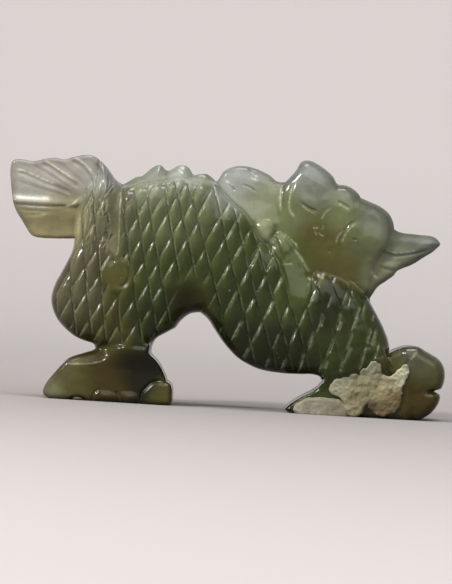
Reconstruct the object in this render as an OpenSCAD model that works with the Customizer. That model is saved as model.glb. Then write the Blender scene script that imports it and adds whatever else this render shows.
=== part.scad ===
// Jade dragon carving: one stone, worked on both faces and standing on four feet.
// Each module is one carved region of the stone. Neighbouring regions share their
// border curves, so they meet face to face with no gap and no overlap.
// +X runs towards the head, +Y away from the carving's show face, +Z up.

/* [Overall] */
// Length from the tail fin to the front paw
stone_length = 76; // [60:1:100]
// Thickness through the fullest part of the body
stone_thickness = 18.4; // [15:0.2:24]

/* [Relief] */
// Share of the full thickness that the scaled body has
body_share = 1; // [0.9:0.01:1]
// Share of the full thickness that the head has
head_share = 0.78; // [0.6:0.01:0.9]
// Share of the full thickness that the jaws, nose and brow have
face_share = 0.6; // [0.45:0.01:0.75]
// Share of the full thickness that the mane has
mane_share = 0.52; // [0.4:0.01:0.65]
// Share of the full thickness that the thin ridges and the tail fin have
fin_share = 0.42; // [0.3:0.01:0.5]
// Share of the full thickness that the feet span
foot_share = 0.84; // [0.7:0.01:0.95]
// Width of the slot between a right foot and its left foot
foot_slot = 1.6; // [1:0.1:3]

/* [Edges] */
// How far the body's rounding runs from its border towards its middle line
body_round = 0.55; // [0.3:0.05:0.7]
// How far the rounding of the smaller regions runs towards their middle line
small_round = 0.45; // [0.3:0.05:0.6]
// Share of its height at which a region's border wall ends and its rounding starts
wall_share = 0.76; // [0.6:0.02:0.85]
// Straight pieces drawn in each span of a curve
curve_steps = 3; // [2:1:5]
// Rings that the rounding is drawn with
round_steps = 3; // [2:1:5]

/* [White stone] */
// How far the white crust stands out of the foot
crust_proud = 0.6; // [0.2:0.1:1]
// How deep the white crust reaches into the foot
crust_depth = 1.8; // [1:0.1:3]

/* [Hidden] */

// The curves below are drawn on a stone 76 mm long.
drawn_length = 76;
size = stone_length / drawn_length;
full = stone_thickness / 2;

// Corners where three regions meet.
fin_foot = [-26.3, 27.3];
fin_top = [-22.6, 40.9];
valley_top = [-18.7, 36.7];
crest_end = [-2.8, 38.1];
mane_top = [8.8, 39];
horn_end = [18.1, 39.1];
brow_end = [21.6, 37];
nose_foot = [27.5, 31.8];
nose_root = [22.5, 32];
mouth_end = [34.9, 28.95];
mouth_root = [24.2, 28.3];
lip_end = [28.6, 25.3];
lip_root = [24.4, 26.4];
throat_end = [24.1, 20.3];
wrist_back = [27.9, 10.3];
wrist_front = [17.3, 6.4];
thumb_root = [31, 5.2];
thumb_notch = [36.9, 5.1];
paw_sole = [31, 0];
web_apex = [-4.2, 16.1];
web_heel = [-8.3, 13.2];
web_front = [-3, 18.4];
web_crown = [-5.7, 21.9];
ankle_front = [-12.4, 8.7];
ankle_mid = [-16.7, 8.9];
ankle_back = [-21.4, 8.8];
heel_top = [-8.9, 3.7];
heel_sole = [-12.8, 0];
haunch_top = [-28.1, 21.6];
valley_mid = [-18.4, 30.2];
crest_start = [-18.55, 35];
chest_top = [3.9, 31.4];
curl_tip = [6.8, 28.4];
lock_top = [7.9, 30.3];
lock_foot = [12.6, 16.6];
lock_side = [13.9, 24.2];
lock_face = [9.7, 30.4];

// Curves along the outer edge, clockwise from the foot of the tail fin.
fin_edge = [fin_foot, [-29.5, 27.1], [-32.2, 27.1], [-34, 27.6], [-35.8, 30.2], [-36.9, 32.2],
    [-37.5, 34.6], [-37.9, 37.4], [-37.9, 39.4], [-37, 40.3], [-34.1, 40.1], [-32.3, 40.6],
    [-30.4, 40.9], [-28.9, 40.7], [-27.4, 41.25], [-25.6, 41.65], [-24.1, 41.6], fin_top];
stem_edge = [fin_top, [-21.5, 39.8], [-20.1, 38.1], valley_top];
crest_edge = [valley_top, [-17.5, 37.7], [-16.5, 38.45], [-15.5, 38.7], [-14.6, 39.6],
    [-13.5, 40.5], [-12.4, 40.75], [-11.6, 40.05], [-10.8, 40], [-9.6, 40.8], [-8.4, 41],
    [-7.5, 40.5], [-6.8, 39.4], [-5.7, 39.55], [-4.6, 39.7], [-3.6, 39], crest_end];
mane_edge = [crest_end, [-2.4, 39], [-1.5, 40.4], [0, 41.2], [1.8, 41.4], [4, 41], [6, 40.2],
    [7.4, 39.2], mane_top];
horn_edge = [mane_top, [9.8, 40.1], [10.8, 41.5], [11.5, 42.8], [13, 43.05], [15, 42.15],
    [16.9, 40.7], [17.6, 39.6], horn_end];
brow_edge = [horn_end, [19.3, 39.05], [20.5, 38.55], [21.3, 37.8], brow_end];
nose_edge = [brow_end, [23.2, 36.5], [25.2, 35.7], [26.7, 34.6], [27.5, 33.2], nose_foot];
upper_jaw_edge = [nose_foot, [30, 31.65], [33, 31.6], [34.8, 31.4], [35.9, 30.6], [36, 29.9],
    mouth_end];
lower_jaw_edge = [mouth_end, [33, 27.6], [31, 26.2], lip_end];
beard_edge = [lip_end, [28.3, 24.4], [27.2, 23.4], [25.6, 22.1], throat_end];
shoulder_edge = [throat_end, [25.3, 18.4], [26.4, 16.7], [27.4, 14.8], [28.1, 13.1],
    [28.35, 11.7], wrist_back];
thumb_edge = [wrist_back, [28.7, 11.4], [30, 12.05], [31.6, 12.45], [33.2, 12.35],
    [35.2, 11.5], [36.9, 10.5], [37.8, 9.1], [38, 7.6], [37.8, 6.1], thumb_notch];
paw_edge = [thumb_notch, [37.4, 4.4], [37.2, 3.2], [36.3, 1.7], [35.2, 0.7], [33.8, 0]];
fore_sole = [paw_sole, [12.4, 0]];
toe_edge = [[12.4, 0], [11.2, 0.5], [11.9, 1.4], [13.4, 2.5], [15.2, 3.7], [16.9, 4.9],
    wrist_front];
chest_edge = [wrist_front, [15.5, 6.7], [12.5, 6.6], [9.5, 6.65], [7, 6.95], [5, 7.5],
    [3, 8.5], [1, 10.2], [-1, 12.6], [-2.8, 15], web_apex];
web_edge = [web_apex, [-5.8, 15.8], [-7.2, 14.7], web_heel];
thigh_edge = [web_heel, [-9.7, 12.3], [-11.2, 11.3], [-12.2, 10], ankle_front];
heel_slope = [ankle_front, [-11.2, 7.6], [-10, 6], heel_top];
heel_edge = [heel_top, [-8.2, 2.8], [-8, 1.3], [-8.2, 0.4], [-8.9, 0]];
hind_sole = [heel_sole, [-28.9, 0]];
claw_edge = [[-28.9, 0], [-29.8, 0.5], [-30, 1.3], [-29.5, 2.6], [-28.3, 4.3], [-27, 5.9],
    [-25.8, 7.1], [-24, 7.8], ankle_back];
haunch_edge = [ankle_back, [-22, 9.7], [-23.6, 10.1], [-25.4, 10.8], [-27, 12], [-28.4, 13.5],
    [-29.3, 15.3], [-29.6, 17.3], [-29.1, 19.5], haunch_top];
tail_edge = [haunch_top, [-27.2, 23.5], [-26.5, 25.4], fin_foot];

// Curves where two regions meet inside the stone's outline.
fin_root = [fin_foot, [-26.3, 29.8], [-26, 32.2], [-25.2, 34.6], [-24, 36.6], [-22.9, 38.8],
    fin_top];
stem_cut = [haunch_top, [-25.6, 23.8], [-23, 26.2], [-20.6, 28.4], valley_mid];
valley_high = [valley_top, crest_start];
valley_low = [crest_start, [-18.45, 32.6], valley_mid];
leg_line = [valley_mid, [-18.2, 27], [-17.7, 24], [-16.5, 22], [-16.9, 20], [-18.1, 18.3],
    [-18, 15.5], [-17.4, 12.6], ankle_mid];
crest_root = [crest_start, [-16.9, 36.5], [-14.2, 37.7], [-11.8, 38.2], [-9, 38.9],
    [-6.8, 38.55], [-4.8, 38.6], crest_end];
mane_root = [crest_end, [-1.6, 36.8], [0.2, 35.1], [2.1, 33.6], chest_top];
chest_cut = [web_crown, [-3.2, 24], [-0.6, 26.5], [1.8, 29], chest_top];
curl_root = [chest_top, [4.7, 30.2], [5.6, 29], curl_tip];
curl_cut = [chest_top, [5.2, 31.7], [6.6, 31.8], lock_top];
curl_side = [curl_tip, lock_top];
mane_side = [mane_top, [9.2, 37], [9.2, 35], [9.5, 33.2], [9.2, 31.4], lock_face];
lock_head = [lock_top, lock_face];
lock_left = [curl_tip, [8, 26.6], [9.2, 24.6], [10.2, 22], [11.2, 19], lock_foot];
lock_right = [lock_foot, [13.6, 18.2], [14.1, 20.4], [14.2, 22.4], lock_side];
lock_chin = [lock_side, [12.3, 26.5], [11.6, 28.6], lock_face];
horn_root = [mane_top, [11, 37.9], [14, 37.9], [16.6, 38.2], horn_end];
brow_root = [horn_end, [18.5, 38.1], [20, 37.5], brow_end];
nose_back = [brow_end, [21.8, 35.4], [21.7, 33.6], nose_root];
nose_base = [nose_root, [25, 31.6], nose_foot];
jaw_back = [nose_root, [21.5, 30.7], [22.2, 29.1], mouth_root];
mouth = [mouth_root, [26.8, 27.9], [28.5, 27.6], [31.5, 28], mouth_end];
lip_back = [mouth_root, lip_root];
lip = [lip_root, [26.5, 25.8], lip_end];
beard_back = [lip_root, [22.9, 25.2], [22.5, 23], throat_end];
shoulder_top = [lock_side, [15.2, 24.8], [17.5, 24.4], [20.3, 23.1], [22.4, 21.7], throat_end];
shoulder_front = [lock_foot, [13.6, 14.6], [14.8, 12], [16, 9.4], wrist_front];
wrist = [wrist_front, [20, 7], [23, 8], [25.8, 9.3], wrist_back];
thumb_side = [wrist_back, [29.4, 9.4], [30.8, 8.5], [31.3, 6.9], thumb_root];
paw_side = [thumb_root, [31.3, 3.5], [31.2, 1.7], paw_sole];
thumb_cut = [thumb_root, [32.8, 5], [34.8, 4.9], thumb_notch];
web_rear = [web_heel, [-8, 15.8], [-8.4, 18.5], [-7.7, 20.8], web_crown];
web_fore = [web_crown, [-4.1, 20.7], web_front];
web_side = [web_front, [-3.2, 17.1], web_apex];
ankle_fore_part = [ankle_front, ankle_mid];
ankle_rear_part = [ankle_mid, ankle_back];
heel_side = [heel_top, [-10.6, 3.2], [-12, 2.2], heel_sole];

// The white stone on the near front foot: a ragged patch, and a claw along the sole.
crust_line = [[18.8, 4], [19.2, 5.3], [20.6, 6.2], [22.4, 6.9], [23.6, 7.6], [24.8, 7.9],
    [26.2, 8.7], [27.1, 7.7], [28.4, 7.1], [29.6, 7.4], [30.6, 8.2], [30.9, 6.8], [30.4, 5.4],
    [30.6, 3.6], [30.3, 1.9], [28, 1.4], [26.2, 1.3], [25.1, 2.5], [24.2, 1.2], [22.4, 0.9],
    [22.2, 3], [20.4, 3.4], [18.8, 4]];
claw_line = [[21.4, 0], [21.5, 1.5], [20.2, 2.5], [17, 2.7], [14.6, 2.3], [13.3, 1.4],
    [12.9, 0.7], [13.2, 0]];

// One point of a Catmull-Rom curve between b and c.
function between(a, b, c, d, t) =
    0.5 * (2 * b + (c - a) * t + (2 * a - 5 * b + 4 * c - d) * t * t
        + (3 * b - a - 3 * c + d) * t * t * t);

// The smooth curve through p, without its last point. Two points give a straight line.
function smooth(p) =
    let (last = len(p) - 1)
    last == 1 ? [p[0]] :
    [for (i = [0 : last - 1]) for (k = [0 : curve_steps - 1])
        between(i > 0 ? p[i - 1] : 2 * p[0] - p[1], p[i], p[i + 1],
            i < last - 1 ? p[i + 2] : 2 * p[last] - p[last - 1], k / curve_steps)];

// The same curve walked the other way.
function back(p) = [for (i = [len(p) - 1 : -1 : 0]) p[i]];

// A closed outline made of curves that follow each other.
function outline(curves) = [for (c = curves) each smooth(c)];

// Index of the point of the middle line m that is closest to q.
function nearest(q, m) = let (d = [for (p = m) norm(p - q)]) search(min(d), d)[0];

// Rings of one rounded face, from the wall to the face: each is [depth, share], and a ring's
// points lie that share of the way from the border to the middle line.
function face_rings(wall, face, round) =
    [for (k = [0 : round_steps]) let (a = 72 * k / round_steps)
        [wall + (face - wall) * sin(a), round * (1 - cos(a))]];

// Triangles that close a face: from ring points (first index r) to middle points (first
// index m). near holds the middle point that each ring point belongs to.
function cap(r, m, near) =
    let (n = len(near))
    [for (i = [0 : n - 1]) let (j = (i + 1) % n, s = near[i], t = near[j])
        each concat([[r + i, r + j, m + s]],
            t > s ? [for (k = [s : t - 1]) [r + j, m + k + 1, m + k]] : [],
            t < s ? [for (k = [s : -1 : t + 1]) [r + j, m + k - 1, m + k]] : [])];

// A closed solid through the border p, from depth y0 to depth y1, that curves in towards the
// middle line m. round0 and round1 are the rounding of the two faces, and 0 leaves one flat.
module pebble(p, m, y0, y1, round0, round1) {
    mid = (y0 + y1) / 2;
    rings = concat(
        round0 > 0 ? back(face_rings(mid + wall_share * (y0 - mid), y0, round0)) : [[y0, 0]],
        round1 > 0 ? face_rings(mid + wall_share * (y1 - mid), y1, round1) : [[y1, 0]]);
    n = len(p);
    near = [for (q = p) nearest(q, m)];
    ring_points = [for (r = rings) for (i = [0 : n - 1])
        let (q = p[i] + r[1] * (m[near[i]] - p[i])) [size * q[0], r[0], size * q[1]]];
    middles = [for (y = [y0, y1]) for (q = m) [size * q[0], y, size * q[1]]];
    sides = [for (k = [0 : len(rings) - 2]) for (i = [0 : n - 1])
        let (a = k * n + i, b = k * n + (i + 1) % n) each [[a, b + n, b], [a, a + n, b + n]]];
    first_middle = len(ring_points);
    far_cap = cap(first_middle - n, first_middle + len(m), near);
    polyhedron(concat(ring_points, middles),
        concat(sides, cap(0, first_middle, near), [for (f = far_cap) back(f)]),
        convexity = 8);
}

// A region that runs through the whole stone.
module through(curves, middle, share, round) {
    pebble(outline(curves), middle, -share * full, share * full, round, round);
}

// A region on one side only: side is -1 for the right, +1 for the left.
module one_side(curves, middle, side, share, round) {
    near = side * foot_slot / 2;
    far = side * share * full;
    if (side < 0) pebble(outline(curves), middle, far, near, round, 0);
    else pebble(outline(curves), middle, near, far, 0, round);
}

// A straight plug through an outline, between two depths.
module plug(p, y0, y1) {
    scale([size, 1, size]) translate([0, y1, 0]) rotate([90, 0, 0])
        linear_extrude(y1 - y0) polygon(p);
}

pale = [0.66, 0.7, 0.62];
olive = [0.42, 0.45, 0.25];
green = [0.25, 0.32, 0.17];
chalk = [0.85, 0.83, 0.74];

module tail_fin() {
    color(pale) through([fin_edge, back(fin_root)], [[-33.5, 37], [-27, 38]], fin_share, 0.6);
}

module tail_stem() {
    color(olive) through([tail_edge, fin_root, stem_edge, valley_high, valley_low,
        back(stem_cut)], [[-21.3, 38], [-22.2, 32], [-24, 27.5], [-26.2, 24.3]],
        0.8 * body_share, small_round);
}

module haunch() {
    color(olive) through([haunch_edge, stem_cut, leg_line, ankle_rear_part],
        [[-20.3, 26.5], [-22, 21], [-22.5, 17], [-20.5, 12]], 0.95 * body_share, body_round);
}

module body_arch() {
    color(green) through([back(leg_line), back(valley_low), crest_root, mane_root,
        back(chest_cut), back(web_rear), thigh_edge, ankle_fore_part],
        [[-14.6, 11.5], [-13, 18], [-11.5, 25.5], [-8, 30.5], [-3.5, 32.5], [0.5, 32.2]],
        body_share, body_round);
}

module dorsal_crest() {
    color(pale) through([crest_edge, back(crest_root), back(valley_high)],
        [[-17.5, 36.7], [-14, 38.7], [-9, 39.7], [-4.5, 39.1]], fin_share, small_round);
}

module belly_web() {
    color(green) through([web_rear, web_fore, web_side, web_edge], [[-6, 18.5]], fin_share, small_round);
}

module chest() {
    color(green) through([chest_cut, curl_root, lock_left, shoulder_front, chest_edge,
        back(web_side), back(web_fore)], [[4.6, 28.5], [4.2, 22], [6, 14], [13, 9.3]],
        body_share, body_round);
}

module shoulder() {
    color(green) through([back(shoulder_front), lock_right, shoulder_top, shoulder_edge,
        back(wrist)], [[17, 20.5], [20, 16], [22.5, 12]], body_share, body_round);
}

module neck_lock() {
    color(olive) through([lock_head, back(lock_chin), back(lock_right), back(lock_left),
        curl_side], [[8.8, 29], [11, 25], [12.8, 19]], 0.92 * body_share, small_round);
}

module mane() {
    color(pale) through([mane_edge, mane_side, back(lock_head), back(curl_cut),
        back(mane_root)], [[0.5, 38.5], [4.5, 35.5], [7.3, 32.8]], mane_share, small_round);
}

module mane_curl() {
    color(pale) through([curl_cut, back(curl_side), back(curl_root)], [[6, 30.4]],
        1.2 * mane_share, small_round);
}

module head() {
    color(olive) through([horn_root, brow_root, nose_back, jaw_back, lip_back, beard_back,
        back(shoulder_top), lock_chin, back(mane_side)], [[13.5, 34.5], [17, 31], [18, 27.5]],
        head_share, small_round);
}

module horn() {
    color(pale) through([horn_edge, back(horn_root)], [[12.6, 40.3], [15, 39.6]],
        fin_share, small_round);
}

module brow() {
    color(pale) through([brow_edge, back(brow_root)], [[19.7, 38.3]], fin_share, small_round);
}

module nose() {
    color(pale) through([nose_edge, back(nose_base), back(nose_back)],
        [[23.2, 34.8], [24.8, 33.2]], face_share, small_round);
}

module upper_jaw() {
    color(pale) through([nose_base, upper_jaw_edge, back(mouth), back(jaw_back)],
        [[24, 30.3], [34, 30.1]], face_share, body_round);
}

module lower_jaw() {
    color(pale) through([mouth, lower_jaw_edge, back(lip), back(lip_back)],
        [[25.6, 27.1], [31, 27]], 0.9 * face_share, small_round);
}

module beard() {
    color(pale) through([lip, beard_edge, back(beard_back)], [[25.3, 24.3]],
        0.9 * face_share, small_round);
}

module hind_foot(side) {
    color(olive) one_side([claw_edge, back(ankle_rear_part), back(ankle_fore_part),
        heel_slope, heel_side, hind_sole], [[-25.5, 3.2], [-14, 4.3]], side, foot_share,
        body_round);
}

module hind_heel(side) {
    color(pale) one_side([heel_edge, [[-8.9, 0], heel_sole], back(heel_side)],
        [[-9.9, 1.6]], side, 0.9 * foot_share, small_round);
}

module fore_foot(side) {
    color(green) one_side([toe_edge, wrist, thumb_side, paw_side, fore_sole],
        [[15.5, 2], [22, 4], [27.5, 5]], side, foot_share, small_round);
}

module fore_paw(side) {
    color(olive) one_side([thumb_cut, paw_edge, [[33.8, 0], paw_sole], back(paw_side)],
        [[33.9, 2.6]], side, 0.95 * foot_share, body_round);
}

module fore_thumb(side) {
    color(pale) one_side([thumb_edge, back(thumb_cut), back(thumb_side)],
        [[32.2, 9.3], [34.8, 8.2]], side, 0.85 * foot_share, body_round);
}

// The near front foot with the pockets that the white stone fills.
module fore_foot_right() {
    difference() {
        fore_foot(-1);
        white_crust();
        white_claw();
    }
}

module white_crust() {
    face = -foot_share * full;
    color(chalk) plug(smooth(crust_line), face - crust_proud, face + crust_depth);
}

module white_claw() {
    face = -foot_share * full;
    color(chalk) plug(concat(smooth(claw_line), [claw_line[7]]), face - crust_proud,
        face + 1.5 * crust_depth);
}

tail_fin();
tail_stem();
haunch();
body_arch();
dorsal_crest();
belly_web();
chest();
shoulder();
neck_lock();
mane();
mane_curl();
head();
horn();
brow();
nose();
upper_jaw();
lower_jaw();
beard();
hind_foot(-1);  // hind_foot_right
hind_foot(1);  // hind_foot_left
hind_heel(-1);  // hind_heel_right
hind_heel(1);  // hind_heel_left
fore_foot_right();
fore_foot(1);  // fore_foot_left
fore_paw(-1);  // fore_paw_right
fore_paw(1);  // fore_paw_left
fore_thumb(-1);  // fore_thumb_right
fore_thumb(1);  // fore_thumb_left
white_crust();
white_claw();
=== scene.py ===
"""Jade dragon carving: the stone's surface, its engraving, its colours, and a plain studio.

The whole stone is one smooth distance field, built from rounded slabs. Each CAD region gets
one piece: the part of that field inside the region's border. A piece dips under its
neighbours past the border, so the pieces lie in each other with no seam in sight.
All shaping is done in millimetres and turned into metres when a mesh is made.
"""
import math

import bpy
import numpy as np
import openvdb
from mathutils import Matrix, Vector


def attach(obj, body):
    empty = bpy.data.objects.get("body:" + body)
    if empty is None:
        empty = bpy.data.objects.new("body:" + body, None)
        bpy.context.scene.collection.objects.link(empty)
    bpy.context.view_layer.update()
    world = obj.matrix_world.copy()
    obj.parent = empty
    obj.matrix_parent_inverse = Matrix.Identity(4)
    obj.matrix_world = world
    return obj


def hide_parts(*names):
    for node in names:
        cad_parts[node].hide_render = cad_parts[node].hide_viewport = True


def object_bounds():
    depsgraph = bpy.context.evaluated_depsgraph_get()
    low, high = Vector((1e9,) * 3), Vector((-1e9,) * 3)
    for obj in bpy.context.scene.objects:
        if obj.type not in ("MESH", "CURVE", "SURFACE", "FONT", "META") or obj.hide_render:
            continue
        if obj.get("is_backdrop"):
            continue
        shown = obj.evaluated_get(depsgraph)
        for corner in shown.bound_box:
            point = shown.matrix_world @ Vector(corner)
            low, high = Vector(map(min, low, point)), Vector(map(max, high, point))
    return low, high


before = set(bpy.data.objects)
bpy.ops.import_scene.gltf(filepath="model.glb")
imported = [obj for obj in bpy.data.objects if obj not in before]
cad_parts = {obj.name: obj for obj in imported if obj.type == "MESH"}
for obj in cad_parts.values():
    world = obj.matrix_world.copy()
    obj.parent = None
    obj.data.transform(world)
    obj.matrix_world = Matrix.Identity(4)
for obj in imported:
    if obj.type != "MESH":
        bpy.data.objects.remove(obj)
cad_low, cad_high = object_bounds()

MM = 0.001
CELL = 0.1
MARGIN = 3.0
LEFT, RIGHT, BOTTOM, TOP = -40.0, 40.0, -2.0, 45.0
HALF = round(cad_high[1] / MM, 2)

grid_x = np.arange(LEFT, RIGHT + CELL / 2, CELL)
grid_z = np.arange(BOTTOM, TOP + CELL / 2, CELL)
GX, GZ = np.meshgrid(grid_x, grid_z, indexing="ij")

# Corners where three regions meet, as (x, z).
FIN_FOOT = (-26.3, 27.3)
FIN_TOP = (-22.6, 40.9)
VALLEY_TOP = (-18.7, 36.7)
CREST_END = (-2.8, 38.1)
MANE_TOP = (8.8, 39)
HORN_END = (18.1, 39.1)
BROW_END = (21.6, 37)
NOSE_FOOT = (27.5, 31.8)
NOSE_ROOT = (22.5, 32)
MOUTH_END = (34.9, 28.95)
MOUTH_ROOT = (24.2, 28.3)
LIP_END = (28.6, 25.3)
LIP_ROOT = (24.4, 26.4)
THROAT_END = (24.1, 20.3)
WRIST_BACK = (27.9, 10.3)
WRIST_FRONT = (17.3, 6.4)
THUMB_ROOT = (31, 5.2)
THUMB_NOTCH = (36.9, 5.1)
PAW_SOLE = (31, 0)
WEB_APEX = (-4.2, 16.1)
WEB_HEEL = (-8.3, 13.2)
WEB_FRONT = (-3, 18.4)
WEB_CROWN = (-5.7, 21.9)
ANKLE_FRONT = (-12.4, 8.7)
ANKLE_MID = (-16.7, 8.9)
ANKLE_BACK = (-21.4, 8.8)
HEEL_TOP = (-8.9, 3.7)
HEEL_SOLE = (-12.8, 0)
HAUNCH_TOP = (-28.1, 21.6)
VALLEY_MID = (-18.4, 30.2)
CREST_START = (-18.55, 35)
CHEST_TOP = (3.9, 31.4)
CURL_TIP = (6.8, 28.4)
LOCK_TOP = (7.9, 30.3)
LOCK_FOOT = (12.6, 16.6)
LOCK_SIDE = (13.9, 24.2)
LOCK_FACE = (9.7, 30.4)

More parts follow.
